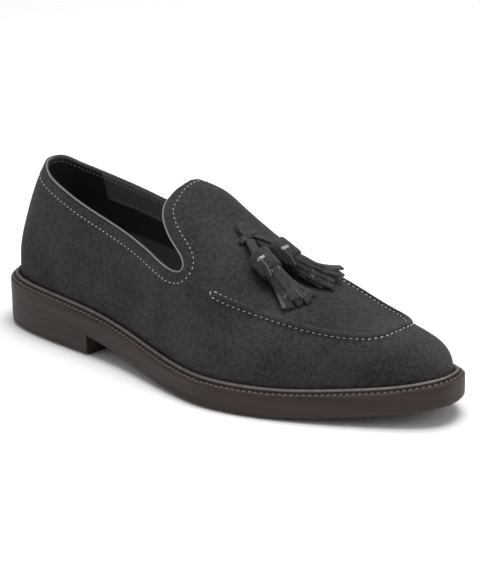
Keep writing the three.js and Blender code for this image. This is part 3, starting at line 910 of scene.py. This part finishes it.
edge_run = [
    (place, inwards) for place, inwards in rim
    if place.y < (EDGE_TONGUE if place.x > TONGUE_START else MIDLINE)
]
gap = max(range(len(edge_run)), key=lambda i: (edge_run[i][0] - edge_run[i - 1][0]).length)
edge_path = relaxed([place for place, _ in edge_run[gap:] + edge_run[:gap]], 3)
inner_places = [place for place, _ in lining_rim]
edge_stations = []
for place, along in resampled(edge_path, EDGE_PITCH):
    spot, up, _, _ = outside_tree.find_nearest(place)
    nearest = min(inner_places, key=lambda inner: (inner - spot).length)
    share = max((HEEL_END - spot.x) / (HEEL_END - HEEL_BACK), 0)
    edge_stations.append((spot.lerp(nearest, min(share * EDGE_SHIFT, 1)), along, up))
edge_line = bmesh.new()
roll_along(edge_line, edge_stations, EDGE_WIDTH * MM, EDGE_WIDTH * MM)
light_edge = plain_material("light_edge", EDGE_COLOUR, roughness=0.6)
finished(edge_line, "collar_edge", [light_edge])

# Tie and tassels
# A suede strap comes out of a slit in the instep and is held by a knot band. A tassel hangs on
# each of its ends: a head wrapped in a suede band, and below it a fringe of cut strips.

TASSEL_DARK = (0.022, 0.0195, 0.021)
TASSEL_LIGHT = (0.056, 0.050, 0.052)
CUT_COLOUR = (0.085, 0.079, 0.083)
TASSEL_SUEDE, CUT_SUEDE = 0, 1
STRIP_THICKNESS = 1.45
STRIP_TURN = math.radians(70)
ROUNDED_TURN = math.radians(50)
ROUNDING = 0.22 * MM
tassel_suede = suede("tassel_suede", TASSEL_DARK, TASSEL_LIGHT)
cut_suede = plain_material("cut_suede", CUT_COLOUR, roughness=0.85)


def is_cut(face):
    """A long thin face between two sharp edges: the side or the end of a strip."""
    sharp = [edge for edge in face.edges if edge.calc_face_angle(0) > STRIP_TURN]
    longest = max(edge.calc_length() for edge in face.edges)
    narrow = face.calc_area() / longest < STRIP_THICKNESS * MM
    return len(sharp) > 1 and len(face.verts) == 4 and narrow


tassel_trees = {}
for node in ("tassel_tie", "tassel_lateral", "tassel_medial"):
    bm = merged(node)
    for face in bm.faces:
        face.material_index = CUT_SUEDE if is_cut(face) else TASSEL_SUEDE
    bmesh.ops.bevel(
        bm, geom=[edge for edge in bm.edges if edge.calc_face_angle(0) > ROUNDED_TURN],
        offset=ROUNDING, segments=2, profile=0.5, affect="EDGES", material=-1, clamp_overlap=True,
    )
    piece = finished(bm, node + "_suede", [tassel_suede, cut_suede], node)
    tassel_trees[node] = tree_of(piece.data)

# Slit tabs
# The end of the wrap is drawn through a slit in each head and shows as a small smooth tab.

TAB_LENGTH = 5.0
TAB_WIDTH = 2.2
TAB_RISE = 0.35
TAB_DROP = 5
TAB_ROWS = (
    {
        "node": "tassel_lateral", "place": shoe_place(196.8, -24.6, 76.4),
        "heading": (0.485, 0.687, 0.541), "facing": (0.35, -0.72, 0.6),
    },
    {
        "node": "tassel_medial", "place": shoe_place(198.8, -6.6, 77.8),
        "heading": (0.485, 0.687, 0.541), "facing": (0.4, -0.62, 0.68),
    },
)
TAB_COLOUR = (0.20, 0.215, 0.245)
TAB_STEPS = 6
TAB_TAPER = 0.25
tab_leather = plain_material("tab_leather", TAB_COLOUR, roughness=0.3)
for row in TAB_ROWS:
    tree = tassel_trees[row["node"]]
    up = Vector(row["facing"]).normalized()
    aside = up.cross(Vector(row["heading"])).normalized()
    heading = aside.cross(up)
    bm = bmesh.new()
    steps = [i / TAB_STEPS - 0.5 for i in range(TAB_STEPS + 1)]
    layers = []
    for rise in (TAB_RISE, -TAB_RISE):
        grid = []
        for v in steps:
            line = []
            for u in steps:
                reach = 1 - TAB_TAPER * abs(2 * v) ** 3
                flat = heading * u * TAB_LENGTH * reach + aside * v * TAB_WIDTH
                over = row["place"] + (flat + up * TAB_DROP) * MM
                spot, _, _, _ = tree.ray_cast(over, -up)
                if spot is None:
                    spot, _, _, _ = tree.find_nearest(over - up * TAB_DROP * MM)
                fall = 1 if rise < 0 else (1 - abs(2 * u) ** 6) * (1 - abs(2 * v) ** 6)
                line.append(bm.verts.new(spot + up * rise * fall * MM))
            grid.append(line)
        layers.append(grid)
    top, bottom = layers
    for i in range(TAB_STEPS):
        for j in range(TAB_STEPS):
            bm.faces.new((top[i][j], top[i][j + 1], top[i + 1][j + 1], top[i + 1][j]))
            bm.faces.new((bottom[i][j], bottom[i + 1][j], bottom[i + 1][j + 1], bottom[i][j + 1]))
    rims = []
    for grid in layers:
        right_side = [line[-1] for line in grid[1:]]
        left_side = [line[0] for line in grid[-2:0:-1]]
        rims.append([*grid[0], *right_side, *grid[-1][-2::-1], *left_side])
    for i in range(len(rims[0])):
        j = (i + 1) % len(rims[0])
        bm.faces.new((rims[0][i], rims[1][i], rims[1][j], rims[0][j]))
    finished(bm, row["node"] + "_tab", [tab_leather])
